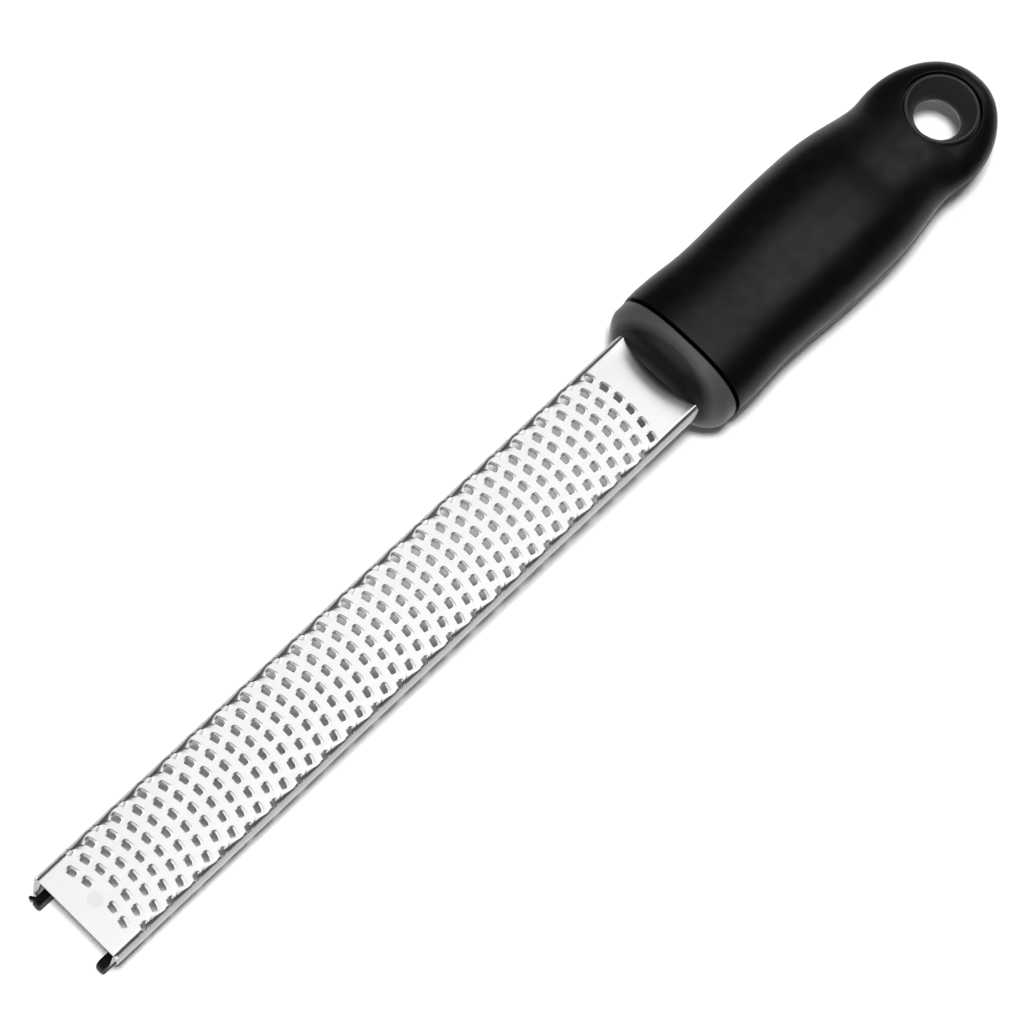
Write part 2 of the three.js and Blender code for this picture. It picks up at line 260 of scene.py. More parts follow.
def ease(t):
    """Goes smoothly from 0 to 1 as t does, and is level outside."""
    t = min(max(t, 0), 1)
    return t * t * (3 - 2 * t)


def steps(start, end, count):
    """Even steps from start to end, both included."""
    return [start + (end - start) * i / count for i in range(count + 1)]


def turns(count):
    """Even angles round a full turn."""
    return [2 * math.pi * i / count for i in range(count)]


# Meshes


class Skin:
    """Points and faces of one mesh. Points at the same place are shared."""

    def __init__(self):
        self.points = []
        self.faces = []
        self.known = {}

    def point(self, place):
        key = tuple(round(value, SAME_PLACE_DIGITS) for value in place)
        if key not in self.known:
            self.known[key] = len(self.points)
            self.points.append(place)
        return self.known[key]

    def face(self, *places):
        corners = []
        for place in places:
            index = self.point(place)
            if index not in corners:
                corners.append(index)
        if len(corners) > 2:
            self.faces.append(corners)

    def band(self, one, two, closed=True):
        """Quads between two rows of points."""
        count = len(one)
        for i in range(count if closed else count - 1):
            j = (i + 1) % count
            self.face(one[i], one[j], two[j], two[i])

    def bands(self, rows, closed=True):
        for one, two in zip(rows, rows[1:]):
            self.band(one, two, closed)

    def fan(self, row):
        """Closes a ring with triangles to its middle."""
        count = len(row)
        middle = tuple(sum(place[k] for place in row) / count for k in range(3))
        for i in range(count):
            self.face(row[i], row[(i + 1) % count], middle)


def make_piece(name, skin, finish, node, sharp_degrees):
    """Turns a skin into a piece that stands for one node of the part."""
    mesh = bpy.data.meshes.new(name)
    mesh.from_pydata(skin.points, [], skin.faces)
    mesh.transform(TO_ROW)
    work = bmesh.new()
    work.from_mesh(mesh)
    bmesh.ops.recalc_face_normals(work, faces=work.faces)
    work.to_mesh(mesh)
    work.free()
    mesh.shade_smooth()
    mesh.set_sharp_from_angle(angle=math.radians(sharp_degrees))
    mesh.materials.append(finish.material)
    piece = bpy.data.objects.new(name, mesh)
    bpy.context.scene.collection.objects.link(piece)
    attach(piece, "root")
    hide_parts(node)


# Materials


class Nodes:
    """A new material and short ways to add nodes to it."""

    def __init__(self, name):
        self.material = bpy.data.materials.new(name)
        self.material.use_nodes = True
        self.tree = self.material.node_tree
        self.shader = self.tree.nodes["Principled BSDF"]
        self.place = self.tree.nodes.new("ShaderNodeTexCoord").outputs["Object"]

    def set(self, socket, value):
        self.shader.inputs[socket].default_value = value

    def link(self, source, target):
        self.tree.links.new(source, target)

    def noise(self, scale, detail=4, stretch=(1, 1, 1)):
        """A cloudy 0 to 1 pattern, drawn out along an axis where stretch is under 1."""
        mapping = self.tree.nodes.new("ShaderNodeMapping")
        mapping.inputs["Scale"].default_value = stretch
        self.link(self.place, mapping.inputs["Vector"])
        noise = self.tree.nodes.new("ShaderNodeTexNoise")
        noise.inputs["Scale"].default_value = scale
        noise.inputs["Detail"].default_value = detail
        self.link(mapping.outputs["Vector"], noise.inputs["Vector"])
        return noise.outputs["Fac"]

    def spread(self, source, low, high, start, end):
        """Maps values from start to end to the range from low to high."""
        node = self.tree.nodes.new("ShaderNodeMapRange")
        node.inputs["From Min"].default_value = start
        node.inputs["From Max"].default_value = end
        node.inputs["To Min"].default_value = low
        node.inputs["To Max"].default_value = high
        self.link(source, node.inputs["Value"])
        return node.outputs["Result"]

    def arithmetic(self, operation, *values):
        """One operation on sockets and plain numbers."""
        node = self.tree.nodes.new("ShaderNodeMath")
        node.operation = operation
        for value, target in zip(values, node.inputs):
            if isinstance(value, (int, float)):
                target.default_value = value
            else:
                self.link(value, target)
        return node.outputs["Value"]

    def tone(self, noise, dark, light):
        """Makes the base colour a mottle between two greys."""
        ramp = self.tree.nodes.new("ShaderNodeValToRGB")
        ends = ((NOISE_LOW, dark), (NOISE_HIGH, light))
        for element, (position, grey) in zip(ramp.color_ramp.elements, ends):
            element.position = position
            element.color = (grey, grey, grey, 1)
        self.link(noise, ramp.inputs["Fac"])
        self.link(ramp.outputs["Color"], self.shader.inputs["Base Color"])

    def patch(self, plain_share, grey):
        """Paints a grey over the base colour where the share of plain colour is 0."""
        mix = self.tree.nodes.new("ShaderNodeMixRGB")
        mix.inputs["Color1"].default_value = (grey, grey, grey, 1)
        plain = self.shader.inputs["Base Color"].links[0].from_socket
        self.link(plain, mix.inputs["Color2"])
        self.link(plain_share, mix.inputs["Fac"])
        self.link(mix.outputs["Color"], self.shader.inputs["Base Color"])

    def rough(self, noise, low, high):
        roughness = self.spread(noise, low, high, NOISE_LOW, NOISE_HIGH)
        self.link(roughness, self.shader.inputs["Roughness"])

    def bump(self, noise, strength, depth):
        node = self.tree.nodes.new("ShaderNodeBump")
        node.inputs["Strength"].default_value = strength
        node.inputs["Distance"].default_value = depth * MM
        self.link(noise, node.inputs["Height"])
        self.link(node.outputs["Normal"], self.shader.inputs["Normal"])


def steel(name, greys, roughness):
    """Bright steel with a fine grain along the blade."""
    nodes = Nodes(name)
    nodes.set("Metallic", 1.0)
    grain = nodes.noise(STEEL_GRAIN, detail=3, stretch=STEEL_GRAIN_STRETCH)
    nodes.tone(nodes.noise(STEEL_CLOUDS), *greys)
    nodes.rough(grain, *roughness)
    nodes.bump(grain, STEEL_GRAIN_BUMP, STEEL_GRAIN_DEPTH)
    return nodes


def dull_spot(nodes, grey):
    """Greys a small disc on the top face near the blade's tip."""
    offset = nodes.tree.nodes.new("ShaderNodeVectorMath")
    offset.operation = "DISTANCE"
    offset.inputs[1].default_value = TO_ROW @ Vector((SPOT_AT, 0, 0))
    nodes.link(nodes.place, offset.inputs[0])
    fade = ((SPOT_RADIUS - SPOT_FADE) * MM, SPOT_RADIUS * MM)
    nodes.patch(nodes.spread(offset.outputs["Value"], 0, 1, *fade), grey)


def moulded(name, greys, roughness, specular, grain, grain_bump):
    """Moulded plastic or rubber with a fine grain."""
    nodes = Nodes(name)
    nodes.set("Specular IOR Level", specular)
    nodes.tone(nodes.noise(MOULDED_CLOUDS), *greys)
    nodes.rough(nodes.noise(MOULDED_SHEEN), *roughness)
    nodes.bump(nodes.noise(grain, detail=2), grain_bump, MOULDED_GRAIN_DEPTH)
    return nodes


def shade_nose_mouth_and_darken_eyelet(nodes, mouth_shade_grey, eyelet_grey):
    """Paints shade at the mouth of the nose: the plastic fades to nearly black where the blade goes in,
    standing for the shade in that hollow. Also darkens the eyelet.
    """
    split = nodes.tree.nodes.new("ShaderNodeSeparateXYZ")
    nodes.link(nodes.place, split.inputs["Vector"])
    fade_start = (TIP_AT + GRIP_FRONT) * MM
    fade_end = fade_start + PLASTIC_FADE * MM
    nodes.patch(nodes.spread(split.outputs["X"], 1, 0, fade_start, fade_end), eyelet_grey)
    square = nodes.arithmetic("MULTIPLY", split.outputs["Y"], split.outputs["Y"])
    bend = CREASE_BOW / (BLADE_WIDTH / 2) ** 2 / MM
    bowed = nodes.arithmetic("MULTIPLY_ADD", square, bend, split.outputs["X"])
    front = (TIP_AT + MOUTH_SHADE_FRONT * math.cos(TILT)) * MM
    back = (TIP_AT + MOUTH_SHADE_BACK * math.cos(TILT)) * MM
    # Painted shade: nearly black at the nose's mouth, on a line bowed like the crease, fading out behind it
    nodes.patch(nodes.spread(bowed, 0, 1, front, back), mouth_shade_grey)


blade_steel = steel("blade_steel", greys=(0.44, 0.45), roughness=(0.28, 0.3))
dull_spot(blade_steel, grey=0.405)
pin_steel = steel("pin_steel", greys=(0.6, 0.72), roughness=(0.3, 0.42))
grey_plastic = moulded(
    "grey_plastic",
    greys=(0.05, 0.058),
    roughness=(0.34, 0.42),
    specular=0.25,
    grain=1600,
    grain_bump=0.12,
)
# The collar's plastic gets painted shade at the mouth of its nose, where the blade goes in
shade_nose_mouth_and_darken_eyelet(grey_plastic, mouth_shade_grey=0.004, eyelet_grey=0.022)
core_plastic = moulded(
    "core_plastic",
    greys=(0.003, 0.004),
    roughness=(0.5, 0.6),
    specular=0.4,
    grain=1400,
    grain_bump=0.2,
)
soft_grip = moulded(
    "soft_grip",
    greys=(0.0008, 0.0012),
    roughness=(0.28, 0.39),
    specular=0.19,
    grain=1500,
    grain_bump=0.5,
)
foot_rubber = moulded(
    "foot_rubber",
    greys=(0.001, 0.0015),
    roughness=(0.5, 0.6),
    specular=0.16,
    grain=1800,
    grain_bump=0.2,
)


# Blade


def bow(across):
    """How far towards the tip a row of teeth falls back from its middle."""
    inside = min(abs(across), cells_half)
    return ROW_BOW_RADIUS - math.sqrt(ROW_BOW_RADIUS**2 - inside**2)


def row_edge(row, across):
    """Where the tipward edge of a row of teeth lies."""
    return FIRST_ROW + (row - 0.5) * PITCH - bow(across)


def dish(x, across):
    """How far the flat of the blade dips on its way into the nose."""
    along = min(max((x - DISH_FRONT) / DISH_LENGTH, 0), 1)
    return DISH_DEPTH * along**DISH_POWER * (1 - (across / flat_half) ** 2)


def scallop(x):
    """How far the flat of the sheet reaches past its mean edge beside the teeth."""
    first = FIRST_ROW - bow(SIDE_COLUMNS * PITCH)
    last = first + LAST_ROW * PITCH
    beside = ease((x - first) / PITCH + 0.5) * ease((last - x) / PITCH + 0.5)
    return -SCALLOP * beside * math.cos(math.pi * (x - first - SCALLOP_LAG) / PITCH)


def on_sheet(x, across, height):
    """A point of the folded sheet: across is measured on the unfolded top face, height stands off it."""
    reach = scallop(x)
    over = abs(across) - flat_half - reach
    if over <= 0:
        return (x, across, height - dish(x, across))
    width = BEND_WIDTH - reach
    arc = bend_arc - reach
    turn = min(over / arc, 1) * math.pi / 2
    lean_y = BEND_DROP * math.sin(turn)
    lean_z = width * math.cos(turn)
    share = height / math.hypot(lean_y, lean_z)
    y = flat_half + reach + width * math.sin(turn) + share * lean_y
    z = BEND_DROP * (math.cos(turn) - 1) + share * lean_z - max(over - arc, 0)
    return (x, math.copysign(y, across), z)


def squarish(angle, tipward, handleward, half):
    """Distance from the middle to the edge of a rounded oblong."""
    along = math.cos(angle)
    reach = handleward if along > 0 else tipward
    power = OPENING_HANDLE_POWER if along > 0 else OPENING_TIP_POWER
    return (abs(along / reach) ** power + abs(math.sin(angle) / half) ** power) ** (-1 / power)


def cell_edge(middle, row):
    """The outline of one cell of the pattern, in order, and the angle of each point about its middle."""
    side = steps(-0.5, 0.5, CELL_STEPS)[:-1]
    outline = [(0.5, v) for v in side]
    outline += [(-u, 0.5) for u in side]
    outline += [(-0.5, -v) for v in side]
    outline += [(u, -0.5) for u in side]
    edge = []
    for along, sideways in outline:
        across = middle + sideways * PITCH
        x = row_edge(row, across) + (along + 0.5) * PITCH
        edge.append((x, across, math.atan2(sideways, along)))
    return edge


def add_tooth(skin, row, column):
    """One cell with its opening and the raised pad on the handle side of it."""
    middle = column * PITCH
    turn = math.asin(middle / ROW_BOW_RADIUS)
    centre = FIRST_ROW + row * PITCH - bow(middle)
    edge = cell_edge(middle, row)

    def ring(outline, grow, lift, base):
        places = []
        for _, _, angle in edge:
            reach = squarish(angle, *outline) + grow
            along = reach * math.cos(angle)
            sideways = reach * math.sin(angle)
            x = centre + along * math.cos(turn) - sideways * math.sin(turn)
            across = middle + along * math.sin(turn) + sideways * math.cos(turn)
            raised = ease((math.cos(angle) + PAD_WRAP) / PAD_WRAP_RUN)
            places.append(on_sheet(x, across, base + lift * raised))
        return places

    opening = (OPENING_TIPWARD, OPENING_HANDLEWARD, OPENING_HALF)
    pad = (PAD_TIPWARD, PAD_HANDLEWARD, PAD_HALF)
    rings = [
        [on_sheet(x, across, 0) for x, across, _ in edge],
        ring(pad, PAD_HOLD, 0, 0),
        ring(pad, 0, 0, 0),
        ring(pad, -PAD_SLOPE, PAD_STEP, 0),
        ring(pad, -PAD_SLOPE - PAD_HOLD, PAD_STEP, 0),
        ring(opening, EDGE_ROUND, PAD_CREST, 0),
        ring(opening, 0, PAD_CREST - EDGE_ROUND, -EDGE_ROUND),
        ring(opening, UNDERCUT, PAD_CREST, -SHEET),
        ring(pad, 0, 0, -SHEET),
        [on_sheet(x, across, -SHEET) for x, across, _ in edge],
    ]
    skin.bands(rings)


def add_patch(skin, acrosses, start, end, count):
    """Both faces of a stretch of sheet without holes. start and end give X at each place across."""
    for height in (0, -SHEET):
        lines = []
        for across in acrosses:
            lines.append([on_sheet(x, across, height) for x in steps(start(across), end(across), count)])
        skin.bands(lines, closed=False)


def add_rim(skin, path, outward):
    """Rounds the cut edge of the sheet between its two faces along a path of (x, across)."""
    profile = ((0, 0), (RIM_ROUND, RIM_BULGE), (SHEET - RIM_ROUND, RIM_BULGE), (SHEET, 0))
    rows = []
    for depth, out in profile:
        row = []
        for x, across in path:
            row.append(on_sheet(x + out * outward[0], across + out * outward[1], -depth))
        rows.append(row)
    skin.bands(rows, closed=False)


def add_bar(skin, ends):
    """A closed bar between two level oblongs, each given by X and Y at two corners and by its height."""
    corners = []
    for (x0, y0), (x1, y1), z in ends:
        corners.append([(x0, y0, z), (x1, y0, z), (x1, y1, z), (x0, y1, z)])
    skin.bands(corners)
    skin.face(*corners[0])
    skin.face(*corners[1])


def row_columns(row):
    """Columns of a row, and whether each has a tooth. The lead row leaves out its middle and its ends."""
    shifted = row > 0 and row % 2 == 1
    reach = SIDE_COLUMNS - 0.5 if shifted else SIDE_COLUMNS
    count = int(2 * reach) + 1
    columns = [i - reach for i in range(count)]
    return [(c, row >= 0 or 0 < abs(c) < SIDE_COLUMNS) for c in columns]


def add_rows(skin, flange):
    """Every row of teeth, and the plain sheet beside it down to both hems."""
    for row in range(-1, LAST_ROW + 1):
        start = partial(row_edge, row)
        end = partial(row_edge, row + 1)
        columns = row_columns(row)
        for column, toothed in columns:
            if toothed:
                add_tooth(skin, row, column)
            else:
                middle = column * PITCH
                acrosses = steps(middle - PITCH / 2, middle + PITCH / 2, CELL_STEPS)
                add_patch(skin, acrosses, start, end, CELL_STEPS)
        last = columns[-1][0] + 0.5
        gap = steps(last * PITCH, cells_half, CELL_STEPS // 2)
        for side in (-1, 1):
            if last < SIDE_COLUMNS + 0.5:
                add_patch(skin, [side * a for a in gap], start, end, CELL_STEPS)
            add_patch(skin, [side * a for a in flange], start, end, CELL_STEPS)


def add_ends(skin, flange):
    """The plain sheet before the first row and behind the last one, with its two cut ends."""
    acrosses = [-a for a in reversed(flange)][:-1]
    acrosses += steps(-cells_half, cells_half, (2 * SIDE_COLUMNS + 1) * CELL_STEPS)
    acrosses += flange[1:]
    add_patch(skin, acrosses, lambda across: 0, partial(row_edge, -1), TIP_STEPS)
    add_patch(skin, acrosses, partial(row_edge, LAST_ROW + 1), lambda across: BLADE_LENGTH, REAR_STEPS)
    add_rim(skin, [(0, a) for a in acrosses], (-1, 0))
    add_rim(skin, [(BLADE_LENGTH, a) for a in acrosses], (1, 0))


def add_hem(skin, side):
    """The cut lower edge of one flange."""
    hem = side * sheet_half
    places = steps(0, row_edge(-1, hem), TIP_STEPS)
    for row in range(-1, LAST_ROW + 1):
        places += steps(row_edge(row, hem), row_edge(row + 1, hem), CELL_STEPS)[1:]
    places += steps(row_edge(LAST_ROW + 1, hem), BLADE_LENGTH, REAR_STEPS)[1:]
    add_rim(skin, [(x, hem) for x in places], (0, side))


def add_tab(skin, side, tab_reach):
    """The small tab that goes down from one corner of the tip to its foot."""
    inner = side * (BLADE_WIDTH / 2 - tab_reach)
    outer = BLADE_WIDTH / 2 - SHEET / 2
    root = ((0, inner), (SHEET, side * outer), -SHEET / 2)
    foot = ((-TAB_LEAN, inner), (SHEET - TAB_LEAN, side * (outer - TAB_TAPER)), -TAB_DROP)
    add_bar(skin, (root, foot))


def add_tang(skin):
    """The strip that goes on into the handle, a hair under the top face of the plate."""
    tang = ((TANG_START, -TANG_WIDTH / 2), (TANG_END, TANG_WIDTH / 2))
    add_bar(skin, ((*tang, -SHEET), (*tang, -TANG_SINK)))


def build_blade():
    skin = Skin()
    flange = steps(cells_half, sheet_half, FLANGE_STEPS)
    add_rows(skin, flange)
    add_ends(skin, flange)
    for side, tab_reach in ((1, LEFT_TAB_REACH), (-1, RIGHT_TAB_REACH)):
        add_hem(skin, side)
        add_tab(skin, side, tab_reach)
    add_tang(skin)
    make_piece("rasp_blade", skin, blade_steel, "blade", sharp_degrees=38)


# Handle


def axis_at(x):
    """Height of the handle's axis, which dips behind the collar."""
    return -HANDLE_DROP - HANDLE_DIP * max(0, x - GRIP_FRONT) / EYE_AT


def signed_power(value, power):
    return math.copysign(abs(value) ** power, value)


def oval(x, half_width, half_height, angles):
    """One oval section across the handle's axis."""
    places = []
    for angle in angles:
        y = half_width * signed_power(math.cos(angle), 2 / SECTION_POWER)
        z = half_height * signed_power(math.sin(angle), 2 / SECTION_POWER)
        places.append((x, y, axis_at(x) + z))
    return places


def creased(place, half_height):
    """Sinks the part of the nose that lies in front of its crease, above the blade."""
    x, y, z = place
    rise = z - axis_at(x)
    crease = CREASE_AT - CREASE_BOW * (2 * y / BLADE_WIDTH) ** 2
    depth = CREASE_DEPTH * ease((crease - x) / CREASE_RUN) * ease(rise / HANDLE_DROP)
    keep = 1 - depth / half_height
    return (x, y * keep, axis_at(x) + rise * keep)


def build_collar():
    """A bull nose that swells to a short plain band."""
    angles = turns(COLLAR_SIDES)
    rings = []
    for angle in steps(0, math.pi / 2, NOSE_RINGS):
        out = math.cos(angle)
        x = BAND_FRONT - NOSE_LENGTH * out
        width = COLLAR_WIDTH - (COLLAR_WIDTH - NOSE_TIP_WIDTH) * out**NOSE_WIDTH_POWER
        height = NOSE_TIP_HEIGHT + (COLLAR_HEIGHT - NOSE_TIP_HEIGHT) * math.sin(angle)
        rings.append([creased(place, height / 2) for place in oval(x, width / 2, height / 2, angles)])
    band = (
        (BAND_FRONT + BAND_EASE, 0),
        (COLLAR_BACK - COLLAR_BEVEL, 0),
        (COLLAR_BACK, COLLAR_BEVEL),
    )
    for x, inset in band:
        rings.append(oval(x, COLLAR_WIDTH / 2 - inset, COLLAR_HEIGHT / 2 - inset, angles))
    skin = Skin()
    skin.bands(rings)
    skin.fan(rings[0])
    skin.fan(rings[-1])
    make_piece("nose_collar", skin, grey_plastic, "front_collar", sharp_degrees=30)


# The grip's sections: distance behind GRIP_FRONT, size there, and how late the change to it comes
WIDTH_STATIONS = (
    (SHOULDER_AT, SHOULDER_WIDTH, 1),
    (HOLLOW_AT, HOLLOW_WIDTH, 1),
    (BELLY_AT, BELLY_WIDTH, 1),
    (NECK_AT, NECK_WIDTH, NECK_EASE),
    (HEAD_AT, HEAD_WIDTH, 1),
)
HEIGHT_STATIONS = (
    (SHOULDER_AT, SHOULDER_HEIGHT, 1),
    (HOLLOW_AT, HOLLOW_HEIGHT, 1),
    (BELLY_TOP_AT, BELLY_HEIGHT, 1),
    (HEAD_AT, HEAD_HEIGHT, HEAD_EASE),
)


def blend_at(stations, distance):
    """The size at a distance, eased from each station to the next."""
    for (start, first, _), (end, last, bias) in zip(stations, stations[1:]):
        if distance <= end:
            return first + (last - first) * ease(((distance - start) / (end - start)) ** bias)
    return stations[-1][1]


def grip_half(distance, lip, stations, end_power):
    """Half of one size of the grip: a rounded lip, the stations and a rounded end."""
    shoulder = stations[0][1]
    head = stations[-1][1]
    if distance < SHOULDER_AT:
        rest = 1 - distance / SHOULDER_AT
        return (lip + (shoulder - lip) * math.sqrt(max(0, 1 - rest * rest))) / 2
    if distance > HEAD_AT:
        out = min((distance - HEAD_AT) / HEAD_RUN, 1)
        return head / 2 * math.sqrt(1 - out**end_power)
    return blend_at(stations, distance) / 2


def grip_half_width(distance):
    return grip_half(distance, LIP_WIDTH, WIDTH_STATIONS, HEAD_PLAN_POWER)


def grip_half_height(distance):
    return grip_half(distance, LIP_HEIGHT, HEIGHT_STATIONS, HEAD_EDGE_POWER)


def grip_height_at(x, y):
    """Half height of the grip over a place in plan, which is 0 outside it."""
    distance = x - GRIP_FRONT
    half_width = grip_half_width(distance)
    if abs(y) >= half_width:
        return 0
    out = abs(y) / half_width
    return grip_half_height(distance) * (1 - out**SECTION_POWER) ** (1 / SECTION_POWER)


def seam_angles(half_height):
    """Angles of one section, with three more beside the seam at each side."""
    first = math.pi / 2 / SECTION_QUARTER
    rises = (SEAM_HALF / 2, SEAM_HALF, 2 * SEAM_HALF)
    beside = []
    for i, rise in enumerate(rises, 1):
        share = min(rise / max(half_height, rise), 1) ** (SECTION_POWER / 2)
        beside.append(min(math.asin(share), first * i / (len(rises) + 1)))
    upward = [0] + beside + [first * i for i in range(1, SECTION_QUARTER)]
    half = upward + [math.pi / 2] + [math.pi - a for a in reversed(upward[1:])]
    return half + [math.pi + a for a in half]


def grip_ring(distance):
    """One section of the grip, with the bead of the seam at each side."""
    half_width = grip_half_width(distance)
    half_height = grip_half_height(distance)
    angles = seam_angles(half_height)
    places = []
    for x, y, z in oval(GRIP_FRONT + distance, half_width, half_height, angles):
        bead = SEAM_HEIGHT * ease(1 - abs(z - axis_at(x)) / SEAM_HALF)
        places.append((x, y + math.copysign(bead, y), z))
    return places


def about_eye(x, y, reach, z):
    """The point that lies from the eye's middle as (x, y) does, at another reach and height."""
    angle = math.atan2(y, x - eye_x)
    return (eye_x + reach * math.cos(angle), reach * math.sin(angle), z)


def eye_rows(loop, side):
    """Rings from a loop on the grip to the rounded edge of the eye's hole, and down to its ledge."""
    radius = EYE_HOLE / 2
    rows = [[(x, y, z if side > 0 else 2 * axis_at(x) - z) for x, y, z in loop]]
    for out in steps(0, 1, EYE_RINGS)[1:]:
        row = []
        for x, y, z in loop:
            edge_x, edge_y, _ = about_eye(x, y, radius + EYE_ROUND, z)
            here_x = x + (edge_x - x) * out
            here_y = y + (edge_y - y) * out
            row.append((here_x, here_y, axis_at(here_x) + side * grip_height_at(here_x, here_y)))
        rows.append(row)
    brink = rows[-1]
    for turn in steps(0, math.pi / 2, EYE_ROUND_STEPS)[1:]:
        reach = radius + EYE_ROUND * (1 - math.sin(turn))
        drop = side * EYE_ROUND * (1 - math.cos(turn))
        rows.append([about_eye(x, y, reach, z - drop) for x, y, z in brink])
    ledge = eyelet_top - EYELET_LIP if side > 0 else eyelet_bottom
    for reach in (radius, EYELET_BODY / 2):
        rows.append([about_eye(x, y, reach, ledge) for x, y, _ in rows[-1]])
    return rows


def grip_distances():
    """Where the grip's sections lie: closer together where its two ends round off."""
    distances = [SHOULDER_AT * (1 - math.cos(a)) for a in steps(0, math.pi / 2, LIP_RINGS)[:-1]]
    distances += steps(SHOULDER_AT, HEAD_AT, GRIP_RINGS)
    distances += [HEAD_AT + HEAD_RUN * math.sin(a) for a in steps(0, math.pi / 2, HEAD_RINGS)[1:-1]]
    return distances


def nearest(values, target):
    """Index of the value nearest to a target."""
    return min(range(len(values)), key=lambda i: abs(values[i] - target))


def build_grip():
    """Sections from lip to head. The middle half of their top and bottom is left out round the eye."""
    distances = grip_distances()
    rings = [grip_ring(distance) for distance in distances]
    count = len(rings[0])
    near = nearest(distances, EYE_AT - EYE_PATCH)
    far = nearest(distances, EYE_AT + EYE_PATCH)
    first = count // 8
    last = count // 2 - first
    skin = Skin()
    for i in range(len(rings) - 1):
        for j in range(count):
            over_eye = first <= j < last or first <= count - 1 - j < last
            if not (near <= i < far and over_eye):
                k = (j + 1) % count
                skin.face(rings[i][j], rings[i][k], rings[i + 1][k], rings[i + 1][j])
    face = oval(
        GRIP_FRONT + GRIP_FACE_SINK,
        LIP_WIDTH / 2 - GRIP_FACE_INSET,
        LIP_HEIGHT / 2 - GRIP_FACE_INSET,
        seam_angles(LIP_HEIGHT / 2),
    )
    skin.band(face, rings[0])
    skin.fan(face)
    skin.fan(rings[-1])
    loop = [rings[near][j] for j in range(first, last)]
    loop += [rings[i][last] for i in range(near, far)]
    loop += [rings[far][j] for j in range(last, first, -1)]
    loop += [rings[i][first] for i in range(far, near, -1)]
    over = eye_rows(loop, 1)
    under = eye_rows(loop, -1)
    skin.bands(over)
    skin.bands(under)
    skin.band(over[-1], under[-1])
    make_piece("soft_sleeve", skin, soft_grip, "grip_sleeve", sharp_degrees=40)


def build_eyelet():
    """A turned ring: a lip over the grip, a funnel down to a waist, and a flare under it."""
    soft = EYELET_SOFT
    outside = EYELET_DIAMETER / 2
    mouth = EYELET_MOUTH / 2
    body = EYELET_BODY / 2 + EYELET_SEAT
    throat = EYELET_THROAT / 2
    waist = EYELET_WAIST / 2
    outlet = EYELET_OUTLET / 2
    lip_z = eyelet_top - EYELET_LIP
    throat_z = eyelet_top - EYELET_FUNNEL
    waist_z = eyelet_top - EYELET_WAIST_DROP
    profile = [
        (outlet + soft, eyelet_bottom),
        (body, eyelet_bottom),
        (body, lip_z),
        (outside, lip_z),
        (outside, eyelet_top - 2 * soft),
        (outside - 0.6 * soft, eyelet_top - 0.6 * soft),
        (outside - 2 * soft, eyelet_top),
        (mouth + soft, eyelet_top),
        (mouth + 0.3 * soft, eyelet_top - 0.3 * soft),
        (mouth - 0.1 * soft, eyelet_top - soft),
        (throat + soft, throat_z + soft),
        (throat, throat_z - soft),
        (waist, waist_z + soft),
        (waist, waist_z - soft),
        (outlet, eyelet_bottom + 2 * soft),
        (outlet + 0.3 * soft, eyelet_bottom + soft),
    ]
    angles = turns(EYELET_SIDES)
    rings = []
    for radius, z in profile + profile[:1]:
        rings.append([(eye_x + radius * math.cos(a), radius * math.sin(a), z) for a in angles])
    skin = Skin()
    skin.bands(rings)
    make_piece("eyelet_ring", skin, grey_plastic, "hanging_eyelet", sharp_degrees=24)


# Feet


def table_at(x):
    """Height of the table in the blade's frame."""
    return (-TIP_HEIGHT + x * math.sin(TILT)) / math.cos(TILT)


def curve(start, pull, end):
    """Points of a curve from start to end that leaves and arrives towards pull."""
    points = []
    for t in steps(0, 1, FOOT_CURVE_STEPS):
        shares = ((1 - t) ** 2, 2 * t * (1 - t), t * t)
        x = shares[0] * start[0] + shares[1] * pull[0] + shares[2] * end[0]
        z = shares[0] * start[1] + shares[1] * pull[1] + shares[2] * end[1]
        points.append((x, z))
    return points


def foot_profile():
    """Outline of a foot from the side: square behind and rounded in front, flat on the table."""
    front = -FOOT_OVERHANG
    rear = front + FOOT_LENGTH
    nose = front + FOOT_NOSE
    top = FOOT_HEIGHT - FOOT_DROP
    middle = top - FOOT_HEIGHT / 2
    outline = [(rear, table_at(rear)), (rear, top)]
    outline += curve((nose, top), (front, top), (front, middle))
    outline += curve((front, middle), (front, table_at(front)), (nose, table_at(nose)))[1:]
    return outline


def add_nib(skin):
    """The short round peg on the outer side of the left foot."""
    root = Vector(NIB_ROOT)
    along = Vector(NIB_END) - root
    sideways = along.cross(Vector((0, 0, 1))).normalized()
    upward = sideways.cross(along).normalized()
    rings = []
    for reach, radius in NIB_PROFILE:
        ring = []
        for angle in turns(NIB_SIDES):
            spoke = sideways * math.cos(angle) + upward * math.sin(angle)
            ring.append(tuple(root + along * reach + spoke * radius * NIB_RADIUS))
        rings.append(ring)
    skin.bands(rings)
    skin.fan(rings[0])
    skin.fan(rings[-1])


def build_foot(side, inner, outer, name, node):
    """A foot between two distances from the blade's middle, with its side edges rounded."""
    outline = foot_profile()
    count = len(outline)
    mid_x = sum(x for x, _ in outline) / count
    mid_z = sum(z for _, z in outline) / count
    rings = []
    for turn in steps(-1, 1, FOOT_RINGS):
        inset = FOOT_ROUND * (1 - math.sqrt(max(0, 1 - turn**FOOT_ROUND_POWER)))
        y = side * (inner + (outer - inner) * (1 + turn) / 2)
        ring = []
        for x, z in outline:
            reach = math.hypot(x - mid_x, z - mid_z)
            shrink = 1 - inset / reach
            ring.append((mid_x + (x - mid_x) * shrink, y, mid_z + (z - mid_z) * shrink))
        rings.append(ring)
    skin = Skin()
    skin.bands(rings)
    skin.fan(rings[0])
    skin.fan(rings[-1])
    if side > 0:
        add_nib(skin)
    make_piece(name, skin, foot_rubber, node, sharp_degrees=40)


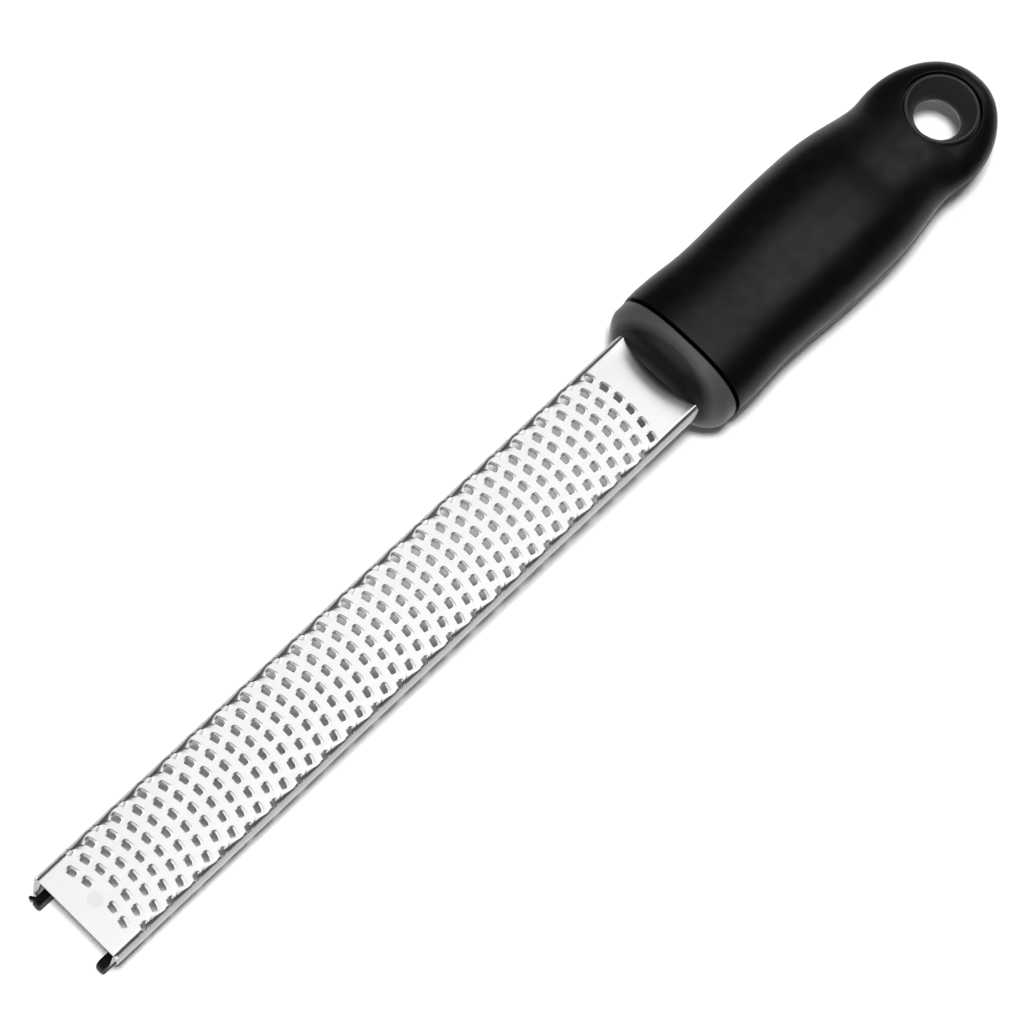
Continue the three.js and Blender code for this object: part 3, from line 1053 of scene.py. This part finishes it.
# The pieces, and new finishes for the inner ones, whose shapes are kept
build_blade()
build_collar()
build_grip()
build_eyelet()
build_foot(1, LEFT_FOOT_INNER, LEFT_FOOT_OUTER, "rubber_foot_left", "foot_left")
build_foot(-1, RIGHT_FOOT_INNER, RIGHT_FOOT_OUTER, "rubber_foot_right", "foot_right")
for node, finish in (
    ("handle_core", core_plastic),
    ("tang_pin_front", pin_steel),
    ("tang_pin_rear", pin_steel),
):
    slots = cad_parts[node].data.materials
    slots.clear()
    slots.append(finish.material)


# Studio


def build_floor():
    nodes = Nodes("floor_white")
    nodes.tone(nodes.noise(FLOOR_CLOUDS), *FLOOR_GREYS)
    nodes.set("Roughness", FLOOR_ROUGHNESS)
    nodes.set("Specular IOR Level", FLOOR_SPECULAR)
    corners = [(-1, -1), (1, -1), (1, 1), (-1, 1)]
    mesh = bpy.data.meshes.new("studio_floor")
    mesh.from_pydata([(x * FLOOR_HALF, y * FLOOR_HALF, 0) for x, y in corners], [], [(0, 1, 2, 3)])
    mesh.materials.append(nodes.material)
    floor = bpy.data.objects.new("studio_floor", mesh)
    floor.location.z = -FLOOR_GAP
    bpy.context.scene.collection.objects.link(floor)


def build_world():
    """A dim grey studio dome, a little paler towards the horizon."""
    world = bpy.data.worlds.new("studio_dome")
    bpy.context.scene.world = world
    world.use_nodes = True
    tree = world.node_tree
    place = tree.nodes.new("ShaderNodeTexCoord")
    split = tree.nodes.new("ShaderNodeSeparateXYZ")
    ramp = tree.nodes.new("ShaderNodeValToRGB")
    tree.links.new(place.outputs["Generated"], split.inputs["Vector"])
    tree.links.new(split.outputs["Z"], ramp.inputs["Fac"])
    tree.links.new(ramp.outputs["Color"], tree.nodes["Background"].inputs["Color"])
    for element, height, grey in zip(ramp.color_ramp.elements, DOME_HEIGHTS, DOME_GREYS):
        element.position = height
        element.color = (grey, grey, grey, 1)


def add_light(name, place, aim, size, power, in_reflections):
    """A soft panel that either shows in reflections or lights the matt surfaces."""
    data = bpy.data.lights.new(name, "AREA")
    data.shape = "RECTANGLE"
    data.size, data.size_y = size
    data.energy = power
    light = bpy.data.objects.new(name, data)
    light.location = place
    light.rotation_euler = (Vector(aim) - Vector(place)).to_track_quat("-Z", "Y").to_euler()
    light.visible_glossy = in_reflections
    light.visible_diffuse = not in_reflections
    bpy.context.scene.collection.objects.link(light)


def build_lights():
    """Three panels for the gloss of steel, plastic and rubber, and three for what is matt."""
    add_light(
        "softbox",
        place=(0.375, -0.04, 1.5),
        aim=(0.375, -0.04, 0),
        size=(1.25, 1.02),
        power=10.8,
        in_reflections=True,
    )
    add_light(
        "neck_softbox",
        place=(2.2, 0.15, 1.3),
        aim=(0.15, 0, 0.02),
        size=(0.9, 0.6),
        power=4.8,
        in_reflections=True,
    )
    add_light(
        "tip_softbox",
        place=(-1.3, 0.4, 2.0),
        aim=(0, 0, 0),
        size=(1.6, 1.8),
        power=11.5,
        in_reflections=True,
    )
    add_light(
        "floor_wash",
        place=(-0.57, -0.18, 3.0),
        aim=(0, 0, 0),
        size=(0.55, 0.55),
        power=102,
        in_reflections=False,
    )
    add_light(
        "fill",
        place=(0, 0, 2.6),
        aim=(0, 0, 0),
        size=(3, 3),
        power=4,
        in_reflections=False,
    )
    add_light(
        "side_fill",
        place=(-1.0, 2.0, 1.3),
        aim=(0, 0, 0),
        size=(2, 1.2),
        power=6,
        in_reflections=False,
    )


def build_camera():
    data = bpy.data.cameras.new("camera")
    data.sensor_width = CAMERA_SENSOR
    data.lens = CAMERA_LENS
    data.clip_start = CAMERA_NEAR
    data.clip_end = CAMERA_FAR
    camera = bpy.data.objects.new("camera", data)
    camera.location = CAMERA_PLACE
    camera.rotation_euler = Euler([math.radians(angle) for angle in CAMERA_TURN_DEGREES])
    bpy.context.scene.collection.objects.link(camera)
    bpy.context.scene.camera = camera


build_floor()
build_world()
build_lights()
build_camera()
bpy.context.scene.view_settings.view_transform = "Standard"
